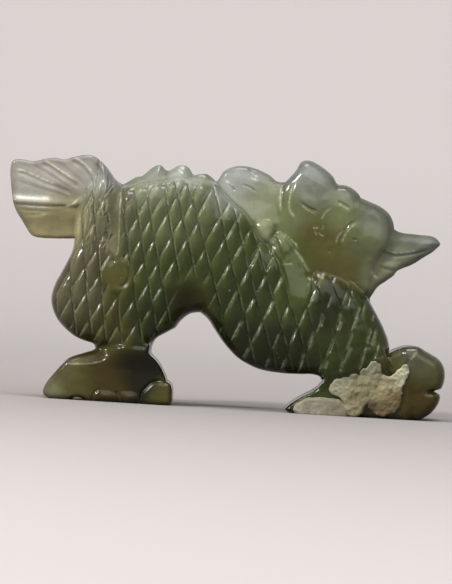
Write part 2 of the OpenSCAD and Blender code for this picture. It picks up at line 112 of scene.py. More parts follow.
# Border curves, each smooth from its first point to its last.
BACK_TOP = [(-14.2, 37.7), (-11.8, 38.2), (-9, 38.9), (-6.8, 38.55), (-4.8, 38.6), CREST_END]
CURVES = {
    "fin_edge": [FIN_FOOT, (-29.5, 27.1), (-32.2, 27.1), (-34, 27.6), (-35.8, 30.2), (-36.9, 32.2),
        (-37.5, 34.6), (-37.9, 37.4), (-37.9, 39.4), (-37, 40.3), (-34.1, 40.1), (-32.3, 40.6),
        (-30.4, 40.9), (-28.9, 40.7), (-27.4, 41.25), (-25.6, 41.65), (-24.1, 41.6), FIN_TOP],
    "stem_edge": [FIN_TOP, (-21.5, 39.8), (-20.1, 38.1), VALLEY_TOP],
    "crest_edge": [VALLEY_TOP, (-17.5, 37.7), (-16.5, 38.45), (-15.5, 38.7), (-14.6, 39.6),
        (-13.5, 40.5), (-12.4, 40.75), (-11.6, 40.05), (-10.8, 40), (-9.6, 40.8), (-8.4, 41),
        (-7.5, 40.5), (-6.8, 39.4), (-5.7, 39.55), (-4.6, 39.7), (-3.6, 39), CREST_END],
    "mane_edge": [CREST_END, (-2.4, 39), (-1.5, 40.4), (0, 41.2), (1.8, 41.4), (4, 41), (6, 40.2),
        (7.4, 39.2), MANE_TOP],
    "horn_edge": [MANE_TOP, (9.8, 40.1), (10.8, 41.5), (11.5, 42.8), (13, 43.05), (15, 42.15),
        (16.9, 40.7), (17.6, 39.6), HORN_END],
    "brow_edge": [HORN_END, (19.3, 39.05), (20.5, 38.55), (21.3, 37.8), BROW_END],
    "nose_edge": [BROW_END, (23.2, 36.5), (25.2, 35.7), (26.7, 34.6), (27.5, 33.2), NOSE_FOOT],
    "upper_jaw_edge": [NOSE_FOOT, (30, 31.65), (33, 31.6), (34.8, 31.4), (35.9, 30.6), (36, 29.9),
        MOUTH_END],
    "lower_jaw_edge": [MOUTH_END, (33, 27.6), (31, 26.2), LIP_END],
    "beard_edge": [LIP_END, (28.3, 24.4), (27.2, 23.4), (25.6, 22.1), THROAT_END],
    "shoulder_edge": [THROAT_END, (25.3, 18.4), (26.4, 16.7), (27.4, 14.8), (28.1, 13.1),
        (28.35, 11.7), WRIST_BACK],
    "thumb_edge": [WRIST_BACK, (28.7, 11.4), (30, 12.05), (31.6, 12.45), (33.2, 12.35),
        (35.2, 11.5), (36.9, 10.5), (37.8, 9.1), (38, 7.6), (37.8, 6.1), THUMB_NOTCH],
    "paw_edge": [THUMB_NOTCH, (37.4, 4.4), (37.2, 3.2), (36.3, 1.7), (35.2, 0.7), (33.8, 0)],
    "paw_base": [(33.8, 0), PAW_SOLE],
    "fore_sole": [PAW_SOLE, (12.4, 0)],
    "toe_edge": [(12.4, 0), (11.2, 0.5), (11.9, 1.4), (13.4, 2.5), (15.2, 3.7), (16.9, 4.9),
        WRIST_FRONT],
    "chest_edge": [WRIST_FRONT, (15.5, 6.7), (12.5, 6.6), (9.5, 6.65), (7, 6.95), (5, 7.5),
        (3, 8.5), (1, 10.2), (-1, 12.6), (-2.8, 15), WEB_APEX],
    "web_edge": [WEB_APEX, (-5.8, 15.8), (-7.2, 14.7), WEB_HEEL],
    "thigh_edge": [WEB_HEEL, (-9.7, 12.3), (-11.2, 11.3), (-12.2, 10), ANKLE_FRONT],
    "heel_slope": [ANKLE_FRONT, (-11.2, 7.6), (-10, 6), HEEL_TOP],
    "heel_edge": [HEEL_TOP, (-8.2, 2.8), (-8, 1.3), (-8.2, 0.4), (-8.9, 0)],
    "heel_base": [(-8.9, 0), HEEL_SOLE],
    "hind_sole": [HEEL_SOLE, (-28.9, 0)],
    "claw_edge": [(-28.9, 0), (-29.8, 0.5), (-30, 1.3), (-29.5, 2.6), (-28.3, 4.3), (-27, 5.9),
        (-25.8, 7.1), (-24, 7.8), ANKLE_BACK],
    "haunch_edge": [ANKLE_BACK, (-22, 9.7), (-23.6, 10.1), (-25.4, 10.8), (-27, 12), (-28.4, 13.5),
        (-29.3, 15.3), (-29.6, 17.3), (-29.1, 19.5), HAUNCH_TOP],
    "tail_edge": [HAUNCH_TOP, (-27.2, 23.5), (-26.5, 25.4), FIN_FOOT],
    "fin_root": [FIN_FOOT, (-26.3, 29.8), (-26, 32.2), (-25.2, 34.6), (-24, 36.6), (-22.9, 38.8),
        FIN_TOP],
    "stem_cut": [HAUNCH_TOP, (-25.6, 23.8), (-23, 26.2), (-20.6, 28.4), VALLEY_MID],
    "valley_high": [VALLEY_TOP, CREST_START],
    "valley_low": [CREST_START, (-18.45, 32.6), VALLEY_MID],
    "leg_line": [VALLEY_MID, (-18.2, 27), (-17.7, 24), (-16.5, 22), (-16.9, 20), (-18.1, 18.3),
        (-18, 15.5), (-17.4, 12.6), ANKLE_MID],
    "crest_root": [CREST_START, (-16.9, 36.5), *BACK_TOP],
    "back_line": [VALLEY_TOP, (-16.6, 37.1), *BACK_TOP],
    "mane_root": [CREST_END, (-1.6, 36.8), (0.2, 35.1), (2.1, 33.6), CHEST_TOP],
    "chest_cut": [WEB_CROWN, (-3.2, 24), (-0.6, 26.5), (1.8, 29), CHEST_TOP],
    "curl_root": [CHEST_TOP, (4.7, 30.2), (5.6, 29), CURL_TIP],
    "curl_cut": [CHEST_TOP, (5.2, 31.7), (6.6, 31.8), LOCK_TOP],
    "curl_side": [CURL_TIP, LOCK_TOP],
    "mane_side": [MANE_TOP, (9.2, 37), (9.2, 35), (9.5, 33.2), (9.2, 31.4), LOCK_FACE],
    "lock_head": [LOCK_TOP, LOCK_FACE],
    "lock_left": [CURL_TIP, (8, 26.6), (9.2, 24.6), (10.2, 22), (11.2, 19), LOCK_FOOT],
    "lock_right": [LOCK_FOOT, (13.6, 18.2), (14.1, 20.4), (14.2, 22.4), LOCK_SIDE],
    "lock_chin": [LOCK_SIDE, (12.3, 26.5), (11.6, 28.6), LOCK_FACE],
    "horn_root": [MANE_TOP, (11, 37.9), (14, 37.9), (16.6, 38.2), HORN_END],
    "brow_root": [HORN_END, (18.5, 38.1), (20, 37.5), BROW_END],
    "nose_back": [BROW_END, (21.8, 35.4), (21.7, 33.6), NOSE_ROOT],
    "nose_base": [NOSE_ROOT, (25, 31.6), NOSE_FOOT],
    "jaw_back": [NOSE_ROOT, (21.5, 30.7), (22.2, 29.1), MOUTH_ROOT],
    "mouth": [MOUTH_ROOT, (26.8, 27.9), (28.5, 27.6), (31.5, 28), MOUTH_END],
    "lip_back": [MOUTH_ROOT, LIP_ROOT],
    "lip": [LIP_ROOT, (26.5, 25.8), LIP_END],
    "beard_back": [LIP_ROOT, (22.9, 25.2), (22.5, 23), THROAT_END],
    "shoulder_top": [LOCK_SIDE, (15.2, 24.8), (17.5, 24.4), (20.3, 23.1), (22.4, 21.7), THROAT_END],
    "shoulder_front": [LOCK_FOOT, (13.6, 14.6), (14.8, 12), (16, 9.4), WRIST_FRONT],
    "wrist": [WRIST_FRONT, (20, 7), (23, 8), (25.8, 9.3), WRIST_BACK],
    "thumb_side": [WRIST_BACK, (29.4, 9.4), (30.8, 8.5), (31.3, 6.9), THUMB_ROOT],
    "paw_side": [THUMB_ROOT, (31.3, 3.5), (31.2, 1.7), PAW_SOLE],
    "thumb_cut": [THUMB_ROOT, (32.8, 5), (34.8, 4.9), THUMB_NOTCH],
    "web_rear": [WEB_HEEL, (-8, 15.8), (-8.4, 18.5), (-7.7, 20.8), WEB_CROWN],
    "web_fore": [WEB_CROWN, (-4.1, 20.7), WEB_FRONT],
    "web_side": [WEB_FRONT, (-3.2, 17.1), WEB_APEX],
    "ankle_fore": [ANKLE_FRONT, ANKLE_MID],
    "ankle_rear": [ANKLE_MID, ANKLE_BACK],
    "heel_side": [HEEL_TOP, (-10.6, 3.2), (-12, 2.2), HEEL_SOLE],
}

# Each region's border, clockwise. A minus sign walks a curve backwards.
REGIONS = {
    "tail_fin": "fin_edge -fin_root",
    "tail_stem": "tail_edge fin_root stem_edge valley_high valley_low -stem_cut",
    "haunch": "haunch_edge stem_cut leg_line ankle_rear",
    "body_arch": "-leg_line -valley_low crest_root mane_root -chest_cut -web_rear "
                 "thigh_edge ankle_fore",
    "dorsal_crest": "crest_edge -crest_root -valley_high",
    "belly_web": "web_rear web_fore web_side web_edge",
    "chest": "chest_cut curl_root lock_left shoulder_front chest_edge -web_side -web_fore",
    "shoulder": "-shoulder_front lock_right shoulder_top shoulder_edge -wrist",
    "neck_lock": "lock_head -lock_chin -lock_right -lock_left curl_side",
    "mane": "mane_edge mane_side -lock_head -curl_cut -mane_root",
    "mane_curl": "curl_cut -curl_side -curl_root",
    "head": "horn_root brow_root nose_back jaw_back lip_back beard_back -shoulder_top "
            "lock_chin -mane_side",
    "horn": "horn_edge -horn_root",
    "brow": "brow_edge -brow_root",
    "nose": "nose_edge -nose_base -nose_back",
    "upper_jaw": "nose_base upper_jaw_edge -mouth -jaw_back",
    "lower_jaw": "mouth lower_jaw_edge -lip -lip_back",
    "beard": "lip beard_edge -beard_back",
    "hind_foot": "claw_edge -ankle_rear -ankle_fore heel_slope heel_side hind_sole",
    "hind_heel": "heel_edge heel_base -heel_side",
    "fore_foot": "toe_edge wrist thumb_side paw_side fore_sole",
    "fore_paw": "thumb_cut paw_edge paw_base -paw_side",
    "fore_thumb": "thumb_edge -thumb_cut -thumb_side",
}


# ---------------- flat curves and maps

def catmull(points, steps=4):
    """The smooth curve through the points, without its last point."""
    p = np.array(points, float)
    if len(p) == 2:
        return p[:1]
    p = np.vstack([2 * p[0] - p[1], p, 2 * p[-1] - p[-2]])
    t = (np.arange(steps) / steps)[:, None]
    spans = []
    for a, b, c, d in zip(p, p[1:], p[2:], p[3:]):
        spans.append(0.5 * (2 * b + (c - a) * t + (2 * a - 5 * b + 4 * c - d) * t ** 2
                            + (3 * b - a - 3 * c + d) * t ** 3))
    return np.vstack(spans)


def loop(points):
    """A closed smooth curve through the points."""
    p = np.array(points, float)
    curve = catmull(np.vstack([p[-2:], p, p[:2]]))
    return curve[8:-4]


def border(words):
    """The closed outline that follows the named curves."""
    return np.vstack([catmull(CURVES[w[1:]][::-1] if w[0] == "-" else CURVES[w])
                      for w in words.split()])


def window(low, high):
    """The part of the flat grid between two corners."""
    i = np.clip(((np.array([low[0], high[0]]) - LEFT) / CELL).astype(int), 0, len(grid_x))
    k = np.clip(((np.array([low[1], high[1]]) - BOTTOM) / CELL).astype(int), 0, len(grid_z))
    return slice(i[0], i[1] + 2), slice(k[0], k[1] + 2)


def depth_map(outline):
    """Distance to a closed outline at each grid point, positive inside it."""
    found = np.full(GX.shape, -MARGIN)
    w = window(outline.min(0) - MARGIN, outline.max(0) + MARGIN)
    x, z = GX[w], GZ[w]
    best = np.full(x.shape, 1e9)
    inside = np.zeros(x.shape, bool)
    for (ax, az), (bx, bz) in zip(outline, np.roll(outline, -1, 0)):
        dx, dz = bx - ax, bz - az
        t = np.clip(((x - ax) * dx + (z - az) * dz) / (dx * dx + dz * dz), 0, 1)
        np.minimum(best, (x - ax - t * dx) ** 2 + (z - az - t * dz) ** 2, out=best)
        if az != bz:
            inside ^= ((az > z) != (bz > z)) & (x < dx * (z - az) / dz + ax)
    best = np.sqrt(best)
    found[w] = np.where(inside, best, np.maximum(-best, -MARGIN))
    return found


def ramp(value, start, end):
    """0 before start, 1 after end, smooth between them. start may be the larger one."""
    t = np.clip((value - start) / (end - start), 0, 1)
    return t * t * (3 - 2 * t)


def bump_at(x, z, rx, rz, angle=0):
    """A round hill of height 1 on the grid, with the given half-widths."""
    c, s = math.cos(math.radians(angle)), math.sin(math.radians(angle))
    u = ((GX - x) * c + (GZ - z) * s) / rx
    v = (-(GX - x) * s + (GZ - z) * c) / rz
    return np.exp(-(u * u + v * v))


def value_noise(scale, seed):
    """Smooth random values from -1 to 1 on the flat grid."""
    rng = np.random.default_rng(seed)
    n, m = int((RIGHT - LEFT) / scale) + 3, int((TOP - BOTTOM) / scale) + 3
    knots = rng.uniform(-1, 1, (n, m))
    u, v = (GX - LEFT) / scale, (GZ - BOTTOM) / scale
    i, k = u.astype(int), v.astype(int)
    u, v = u - i, v - k
    u, v = u * u * (3 - 2 * u), v * v * (3 - 2 * v)
    return ((knots[i, k] * (1 - u) + knots[i + 1, k] * u) * (1 - v)
            + (knots[i, k + 1] * (1 - u) + knots[i + 1, k + 1] * u) * v)


# Maps of the engraving: how deep it cuts, its frosting with painted highlights, and its painted
# shade.
cuts = np.zeros(GX.shape)
frost_and_glint = np.zeros(GX.shape)
shadow = np.zeros(GX.shape)


def engrave(points, depth, width, shade=1.0, dark=0.3, lean=0.0, lean_width=0.8):
    """Cuts a line along a smooth curve. shade gives it a frosty pale that is partly a painted
    highlight, and dark darkens it with painted shade. lean bevels the stone on the line's right
    side, seen along its direction."""
    line = np.vstack([catmull(points), points[-1:]])
    reach = 3 * max(width, lean_width if lean else 0)
    w = window(line.min(0) - reach, line.max(0) + reach)
    x, z = GX[w], GZ[w]
    best = np.full(x.shape, 1e9)
    side = np.zeros(x.shape)
    along = np.zeros(x.shape)
    count = len(line) - 1
    for i, ((ax, az), (bx, bz)) in enumerate(zip(line, line[1:])):
        dx, dz = bx - ax, bz - az
        t = np.clip(((x - ax) * dx + (z - az) * dz) / (dx * dx + dz * dz), 0, 1)
        far = np.hypot(x - ax - t * dx, z - az - t * dz)
        near = far < best
        best = np.where(near, far, best)
        side = np.where(near, np.sign((x - ax) * dz - (z - az) * dx), side)
        along = np.where(near, (i + t) / count, along)
    taper = np.minimum(1, 6 * np.minimum(along, 1 - along) + 0.15)
    groove = np.exp(-(best / width) ** 2) * taper
    cuts[w] = np.maximum(cuts[w], depth * groove)
    frost_and_glint[w] = np.maximum(frost_and_glint[w], shade * groove)
    shadow[w] = np.maximum(shadow[w], dark * groove)
    if lean:
        cuts[w] += lean * np.exp(-best / lean_width) * (side > 0) * taper


# ---------------- heights of the stone

def dome(depth, reach, low, high):
    """Half-thickness that rises from low at an edge to high at a distance of reach."""
    t = np.clip(depth / reach, 0, 1)
    return low + (high - low) * np.sqrt(1 - (1 - t) ** 2)


region_maps = {name: depth_map(border(words)) for name, words in REGIONS.items()}

body_border = border("tail_edge fin_root stem_edge back_line mane_root "
                     "curl_root curl_side lock_head -lock_chin shoulder_top shoulder_edge "
                     "-wrist chest_edge web_edge thigh_edge "
                     "ankle_fore ankle_rear haunch_edge")

body_depth = depth_map(body_border)


def under(words, *hidden):
    """A part's depth map: its border curves, then points that lie inside its neighbours."""
    return depth_map(np.vstack([border(words), catmull(list(hidden) + [hidden[-1]])]))


def under_curve(words, points):
    """A part's depth map: its border curves, then one smooth curve through the points."""
    return depth_map(np.vstack([border(words), catmull(points), points[-1:]]))


slabs = []


def slab(depth, height, edge, blend=0.4):
    """Adds a rounded slab to the stone: its depth map, its half-thickness, the radius of its
    edge, and how softly it runs into the others."""
    slabs.append((depth, np.broadcast_to(height, GX.shape), edge, blend))


lock_depth = depth_map(loop([
    (8, 30.3), (9.2, 30.2), (10.8, 28.9), (12.1, 26.9), (13.9, 24.1), (14.1, 21), (13.4, 17.5),
    (12.4, 16.5), (10.8, 19.5), (9.7, 22.5), (8.8, 24.8), (7.3, 27.2), (6.8, 28.6), (7.3, 29.7)]))

# Scaled body, with the smooth channel between tail and back, and the round knee pad.
channel_x = -19.0 + 0.02 * (GZ - 30)
channel_width = np.where(GX < channel_x, 2.6, 0.65)
channel = np.exp(-((GX - channel_x) / channel_width) ** 2) * ramp(GZ, 20, 31)
pad_far = np.hypot((GX + 18.2) / 2.2, (GZ - 21.4) / 2.5)
pad = ramp(pad_far, 1.2, 0.6)
body_height = dome(body_depth, 6.5, 6.3, 9.1) - 1.7 * channel - 0.1 * pad
body_height -= 0.8 * ramp(lock_depth, -0.1, 0.7) * ramp(GZ, 18, 28)
body_height -= 2.2 * bump_at(-5.6, 16, 3.2, 6.5)
body_height -= 1.2 * ramp(GX, -21.5, -25.5) * ramp(GZ, 24, 30)
slab(body_depth, body_height, 2.0, 0.5)

# Tail fin: a lip across it, highest at the left, a bevel under the lip, and a fan above.
lip_z = 33.15 + 0.35 * np.maximum(GX + 26.8, 0) ** 1.6
above = GZ - lip_z
lip_height = 3.9 + 0.7 * (0.2 + 0.8 * ramp(GX, -28.5, -32))
fin_height = np.where(above > 0, 3.9 + (lip_height - 3.9) * np.exp(-(above / 0.7) ** 2),
                      lip_height - (lip_height - 0.7) * ramp(-above, 0, 6.6)
                      - 0.35 * ramp(-above, 0, 0.8))
slab(under("fin_edge", (-21.8, 38), (-22.5, 33), (-24, 29), (-24.5, 26.5)), fin_height, 0.7)

# Scalloped crest behind the back.
crest_depth = under("crest_edge", (-3.5, 35.5), (-9, 35.5), (-14, 34.5), (-17.5, 34))
slab(crest_depth, 2.4 + 3.2 * ramp(crest_depth, 0.2, 3.6), 0.8, 2.0)

# Mane, its curl, and the smooth lock that hangs over the neck.
mane_depth = under("mane_edge", (11, 37), (11, 33), (11, 29), (7.5, 27), (3.5, 28.5),
                   (0, 31), (-3.5, 34.5))
slab(mane_depth, dome(mane_depth, 4, 4.5, 5.5) + 0.9 * ramp(GZ, 36, 31), 0.9)
curl_depth = depth_map(loop([
    (4.4, 30.9), (5, 32.1), (6.3, 32.6), (7.4, 32.1), (7.7, 30.9), (7.3, 29.5), (6.6, 28.7),
    (5.3, 29.4)]))
slab(curl_depth, dome(curl_depth, 1.8, 6.0, 6.7), 1.0, 1.2)
slab(lock_depth, 7.6 - 0.12 * np.maximum(GZ - 24, 0), 1.1, 0.7)

# Head: one mass, with a horn facet, brow, nose, jaws and beard.
head_depth = depth_map(np.vstack([
    border("horn_edge brow_edge nose_edge"),
    catmull([NOSE_FOOT, (26.8, 29), (25.4, 26.5), (24.7, 23.8), THROAT_END, (20, 18),
             (14, 20), (9.5, 26), (8, 31), (7.4, 35), (8, 37.5), MANE_TOP])]))
facet = (GX - 11.5) * 0.42 + (GZ - 40.6) * 0.91
head_height = dome(head_depth, 5, 4.8, 6.7)
head_height -= 0.27 * np.maximum(facet, 0) * ramp(GX, 19, 17)
head_height -= 1.1 * ramp(GX, 19.5, 24.5) * ramp(GZ, 30, 33)
head_height += 0.5 * bump_at(15, 25.5, 6, 4) + 0.3 * bump_at(20.5, 30.5, 1.8, 2.4)
head_height += 0.3 * bump_at(13.2, 35.6, 2.4, 1.3, -20)
slab(head_depth, head_height, 1.0, 0.8)
slab(under("brow_edge", (21.6, 36), (19.5, 36), (18, 37.5)), 4.9, 1.5, 0.8)
slab(under("nose_edge", (25.5, 30.6), (21, 30.2), (19, 33), (19.3, 36)),
     5.9 - 0.25 * (GX - 22), 1.8, 2.0)
jaw_depth = under("upper_jaw_edge", (33.5, 28.4), (31.5, 27.4), (28.5, 27), (26, 27.5),
                  (21, 28.5), (20, 32.6), (24, 32.4))
slab(jaw_depth, 5.7 - 0.2 * (GX - 22), 1.7, 2.0)
slab(depth_map(loop([
    (21.5, 29.6), (24, 29.6), (28.5, 29), (31.5, 29), (34.7, 29.1), (33, 27.6), (31, 26.2),
    (28.6, 25.3), (26.4, 25), (22, 25.4)])),
     4.9 - 0.2 * (GX - 24), 1.2, 1.2)
slab(depth_map(loop([
    (21.5, 27.5), (24.4, 27.3), (26.5, 26.8), (28.6, 25.9), (28.4, 24.4), (27.2, 23.4),
    (25.6, 22.1), (24.1, 20.3), (21, 21)])), 4.5, 1.3, 1.6)

# Hind foot and its heel block.
hind_depth = under_curve("claw_edge", [
    ANKLE_BACK, (-20.6, 11), (-16.5, 12.5), (-12.6, 10.5), ANKLE_FRONT, (-11.2, 7.6),
    (-10, 6), (-9.2, 4.2), (-9.6, 2), (-10.4, 0)])
ridge_z = 6.1 + 0.035 * (GX + 26) ** 2
hind_height = 7.6 - 0.55 * np.maximum(GZ - ridge_z, 0) * ramp(GX, -17, -19.5)
hind_height += 1.2 * ramp(GZ, 5.5, 9.5) * ramp(GX, -20, -17)
hind_height += 0.35 * bump_at(-19.2, 0.9, 1.8, 0.9) + 0.35 * bump_at(-15.3, 0.9, 1.6, 0.9)
slab(hind_depth, hind_height - 0.5 * ramp(GX, -26, -30), 0.9, 1.2)
heel_depth = depth_map(loop([
    (-12.9, 0), (-12.9, 1.6), (-12, 2.9), (-10.9, 3.8), (-9.6, 4), (-8.6, 3.9), (-8.1, 3.2),
    (-8, 1.6), (-8.1, 0.5), (-8.9, 0)]))
slab(heel_depth, dome(heel_depth, 1.2, 7.2, 7.73), 0.8, 0.25)

# Front foot: sole with its long toe, the curled nub, and the two lobes of the paw.
toe_depth = under_curve("toe_edge", [
    WRIST_FRONT, (17.6, 9), (22, 11), (26.5, 12), WRIST_BACK, (29.5, 8), (31.8, 6.5),
    (32.5, 3), (32, 0)])
foot_height = (7.0 + 0.3 * ramp(GX, 14, 20)
               + 1.3 * ramp(GZ - 0.25 * (GX - 20), 4.5, 8.5))
slab(toe_depth, foot_height, 0.8, 1.4)
nub_depth = depth_map(loop([
    (27.8, 10.3), (28.7, 11.4), (30, 12.05), (31.6, 12.4), (33.5, 12.2), (33.3, 10.3), (31.4, 8),
    (30.2, 7.2), (28.8, 7.0), (27.9, 7.8), (27.6, 9)]))
slab(nub_depth, 7.1, 1.4, 0.6)
lobe_depth = depth_map(loop([
    (30.4, 12.0), (32.3, 12.45), (33.6, 12.2), (35.2, 11.5), (36.9, 10.5), (37.8, 9.1), (38, 7.6),
    (37.7, 6), (37, 5.2), (34.5, 4.2), (31, 3.6), (29.4, 5), (29.2, 7.4), (29.8, 10)]))
slab(lobe_depth, dome(lobe_depth, 3.5, 6.4, 7.6), 1.6, 0.8)
paw_depth = depth_map(np.vstack([border("paw_edge"), [
    (33.8, 0), (29.8, 0), (29.6, 2.5), (30.2, 5.6), (33.5, 6.4), (36.2, 5.6)]]))
slab(paw_depth, dome(paw_depth, 3, 6.4, 7.3), 1.4, 0.9)

# ---------------- engraving

rng = np.random.default_rng(7)

# Where the long cuts of the two families cross z = 20.
STEEP = [-32.0, -29.2, -26.4, -23.8, -21.3, -18.7, -15.7, -13.2, -10.8, -7.6, -4.8, -1.9, 1.9,
         4.7, 7.5, 10.3, 13, 15.8, 18.6, 21.4, 24.2, 27, 29.8, 32.6]
RISING = [-36.3, -33.5, -30.7, -27.9, -25.1, -22.3, -19.5, -16.9, -14.1, -11.4, -8.1, -5.0,
          -2.0, 1.6, 4.8, 8, 11.2, 14.2, 17.2, 20.2, 23.2, 26.2, 29.2]


def steep_lean(x):
    return -0.15 if x < -17 else -0.2 - 0.006 * (x + 17)


def rising_lean(x):
    return 0.5 - 0.007 * max(x + 8, 0)


def family(starts, lean):
    """The x of every cut of a family at each z of the grid, slightly bowed by hand."""
    cuts_x = []
    for start in starts:
        slope = lean(start) * rng.uniform(0.95, 1.05)
        bow = rng.uniform(-0.002, 0.002)
        cuts_x.append(start + slope * (grid_z - 20) + bow * (grid_z - 20) ** 2)
    return cuts_x


def flank(x, left, right, wall, fall):
    """Height from 0 to 1 between two cuts: a quick rise, wall wide, right of the left one,
    then a slow fall that starts at the fraction fall of the way."""
    across = x - left
    part = across / np.maximum(right - left, 0.5)
    hill = ramp(across, 0, wall) * (1 - 0.75 * ramp(part, fall, 1))
    return np.where((part >= 0) & (part < 1), hill, 0)


# How far a row of scales may slip, how deep the grooves between scales are, and how much
# painted shade darkens the grooves and the falling side of each scale.
STAGGER = 0.5
GROOVE_DEPTH = 0.46
GROOVE_SHADE = 0.4
steep_cuts = family(STEEP, steep_lean)
rising_cuts = family(RISING, rising_lean)
scales = np.zeros(GX.shape)
strokes = []
for left, right in zip(steep_cuts, steep_cuts[1:]):
    w = window((left.min(), BOTTOM), (right.max(), TOP))
    shift = rng.uniform(-STAGGER, STAGGER)
    moved = [line + shift for line in rising_cuts]
    rows = sum(flank(GX[w], a, b, 0.6, 0.3) for a, b in zip(moved, moved[1:]))
    scales[w] = np.maximum(scales[w], rows * flank(GX[w], left, right, 0.45, 0.5))
    for line in moved:
        low, high = np.interp(0, line - left, grid_z), np.interp(0, line - right, grid_z)
        if high - low > 0.5:
            strokes.append((line, low, high))

right_side = ramp(GX, 13, 17) * ramp(GZ, 27, 23)
cuts += GROOVE_DEPTH * (1 - scales) * (1 - 0.6 * right_side)
shadow += GROOVE_SHADE * (1 - scales) * (1 - 0.4 * right_side)


def along_cut(line, low, high, shift):
    """Three points on a long cut between two heights, moved sideways by shift."""
    z = np.linspace(low, high, 3)
    return np.c_[np.interp(z, grid_z, line) + shift, z]


# One short stroke along the upper left edge of each scale: painted shade in its groove, and on
# its lit side a frosty pale line that is partly a painted highlight, sometimes doubled.
for line, low, high in strokes:
    tall = high - low
    engrave(along_cut(line, low + 0.1, high, -0.08), 0.1, 0.17, 0, 0.5)
    start, end = rng.uniform(0, 0.3), rng.uniform(0.65, 1)
    chest = float(ramp(np.interp(low, grid_z, line) - 0.5 * low, -14, -4))
    glint = rng.uniform(0.3, 0.9) + 0.2 * chest
    engrave(along_cut(line, low + start * tall, low + end * tall, 0.24), 0.03,
            0.11 + 0.04 * chest, glint, 0)
    if rng.random() < 0.2 + 0.4 * chest:
        engrave(along_cut(line, low + 0.3 * tall, low + end * tall, 0.6), 0.04, 0.1,
                0.8 * glint, 0)

# Long steep cuts, in pulls of the tool that mostly overlap. Each is darkened with painted shade,
# with a frosty pale line beside it that is partly a painted highlight.
for line in steep_cuts:
    low = 5 + rng.uniform(0, 2)
    while low < 38:
        high = low + rng.uniform(3, 7)
        shift = rng.uniform(-0.1, 0.1)
        faint = 1 - 0.75 * float(ramp(np.interp(low, grid_z, line), 13, 17)) * (low < 22)
        engrave(along_cut(line, low, high, shift), 0.16 * rng.uniform(0.6, 1.2) * faint, 0.18,
                0, 0.7 * faint)
        engrave(along_cut(line, low + 0.5, high - 0.5, shift + 0.26), 0.02, 0.1,
                rng.uniform(0.2, 0.7) * faint, 0)
        low = high + rng.uniform(-0.8, 0.4)

smooth_skin = np.maximum.reduce([
    ramp(channel, 0.15, 0.5), ramp(pad_far, 1.4, 0.8),
    ramp(lock_depth, -0.5, 0.4) * ramp(GZ, 16, 20), ramp(body_depth, 1.1, 0.2),
    ramp(region_maps["belly_web"], -1.8, 0.6)])
for marks in (cuts, frost_and_glint, shadow):
    marks *= 1 - smooth_skin

# Short chisel marks on the shoulder.
for (ax, az), (bx, bz) in (
        ((19, 14.5), (19.6, 17.5)), ((18, 10.5), (18.7, 13.2)), ((20.9, 11.3), (21.7, 14.3)),
        ((24.2, 12.5), (24.8, 15.3)), ((25.7, 10), (26.2, 12.8)), ((23.2, 8), (23.8, 11)),
        ((20, 7.5), (20.5, 10)), ((17.4, 8), (17.8, 9.5)), ((22, 16.4), (22.7, 18.8)),
        ((16.2, 15), (16.5, 17.2)), ((14.4, 11.5), (15.2, 14)), ((25, 16.4), (25.3, 17.6)),
        ((20.6, 18.6), (20.9, 20.4)), ((13.3, 8), (13.8, 10.4))):
    engrave([(ax, az), ((ax + bx) / 2 + 0.05, (az + bz) / 2), (bx, bz)], 0.22, 0.2, 1.0,
            0.0, 0.12, 0.6)

# Small uneven chisel marks where the scales run out on the tail, darkened with painted shade,
# each with a frosty pale line beside it that is partly a painted highlight.
for _ in range(52):
    z = rng.uniform(23.5, 37)
    x = rng.uniform(-25.2 + 0.5 * max(z - 33, 0), -20.2)
    tall = rng.uniform(0.8, 2.1)
    slant = tall * rng.choice((-0.2, 0.1, 0.6))
    middle = (x + slant / 2 + rng.uniform(-0.1, 0.1), z + tall / 2)
    path = np.array([(x, z), middle, (x + slant, z + tall)])
    engrave(path, 0.14, 0.15, 0, 0.42)
    engrave(path + (0.22, 0), 0.03, 0.11, rng.uniform(0, 0.8), 0)

# Engraved lines: path, depth, width.
# Dark lines: painted shade in the groove.
DARK_LINES = [
    ([CREST_END, (-1.6, 36.7), (0.2, 35), (2.1, 33.5), CHEST_TOP], 0.22, 0.3),
    ([CHEST_TOP, (4.7, 30.1), (5.6, 28.9), (6.7, 28.2)], 0.18, 0.3),
    ([(-0.9, 38.3), (-0.2, 37.7), (0.5, 37.1)], 0.2, 0.16),
    ([(2.5, 41), (3.3, 40.4), (4, 39.8)], 0.2, 0.16),
    ([(1.8, 38.2), (3, 37.8), (4, 37.2)], 0.14, 0.16),
    ([(8.7, 38.9), (8.65, 36.5), (8.8, 34.2)], 0.15, 0.2),
    ([(11.7, 35.8), (13, 35), (14.6, 34.4)], 0.22, 0.16),
    ([(18, 36.3), (19, 35.9), (20.2, 35.3)], 0.14, 0.16),
    ([(21.2, 33.2), (20.1, 32.4), (19.4, 31.4), (19, 30.3), (18.8, 29.5)], 0.12, 0.18),
    ([(20.9, 30.1), (21.6, 29.9)], 0.15, 0.16),
    ([(7.6, 29.9), (8, 28.8), (8.8, 27), (9.6, 25.2)], 0.3, 0.3),
    ([(-16.7, 23.4), (-16.4, 22), (-16.8, 20.4), (-18, 19.3)], 0.25, 0.3),
    ([(12.9, 1.3), (14, 2.2), (15.4, 3.1)], 0.12, 0.13),
    ([(37.6, 5.1), (36.4, 5.1), (35, 4.8)], 0.5, 0.3),
    ([(28.1, 9.2), (28.2, 8), (29, 7.3), (30, 7.6), (30.8, 8.8), (31.8, 10.4)], 0.35, 0.3),
    ([(-25.6, 0.1), (-24.6, 0.55), (-23.4, 0.5), (-22.4, 0.1)], 0.35, 0.25),
    ([(-21.4, 0.1), (-21.3, 1.2), (-20.5, 2.1)], 0.2, 0.25),
    ([(-17.3, 0.1), (-17.2, 1.1), (-17.6, 2)], 0.25, 0.25),
    ([(-13.1, 0.1), (-13.2, 1.8), (-12.2, 3.1), (-11.2, 3.9), (-9.8, 4.2)], 0.4, 0.3),
    ([(17.5, 6.4), (17.3, 5.2)], 0.3, 0.2),
]
